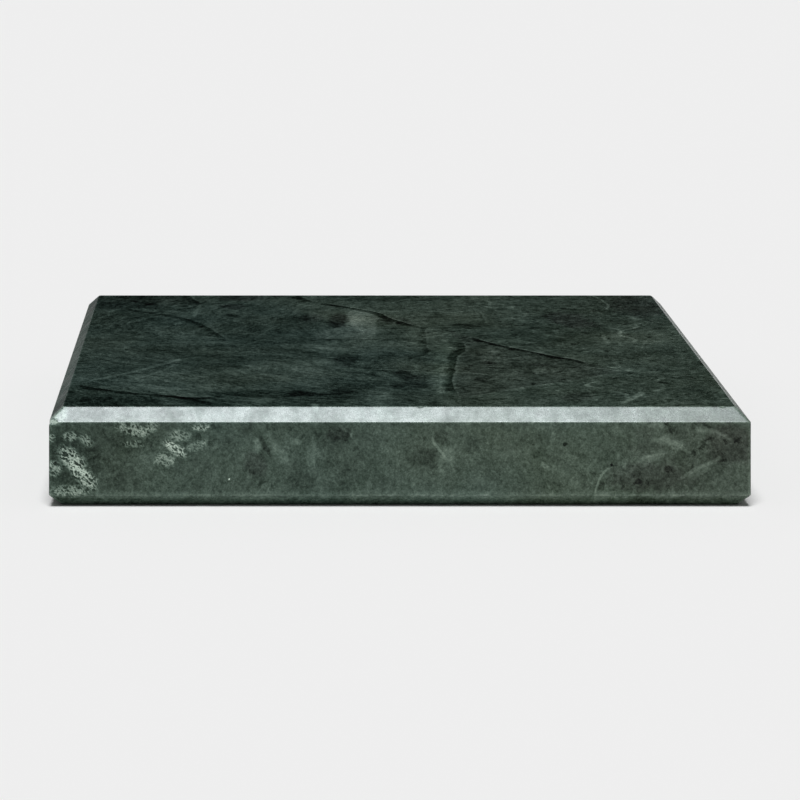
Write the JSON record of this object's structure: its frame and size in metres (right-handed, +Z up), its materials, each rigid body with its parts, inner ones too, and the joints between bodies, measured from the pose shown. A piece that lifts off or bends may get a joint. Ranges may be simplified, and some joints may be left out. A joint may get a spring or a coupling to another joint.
{
  "type": "stone tooling slab",
  "caption": "Square slab of dark green polished stone with bevelled edges: the heavy flat base on which leather is stamped, tooled, skived and glued.",
  "frame": {"origin": "centre of the resting face, on the surface the slab lies on", "axes": "+Z up through the thickness, +X to the right along one side, -Y towards the front side"},
  "size_m": [0.2, 0.2, 0.028],
  "materials": {
    "green_stone": "polished working face, honed bevels and sides"
  },
  "bodies": {
    "root": {"stone_slab": "green_stone"}
  },
  "joints": []
}
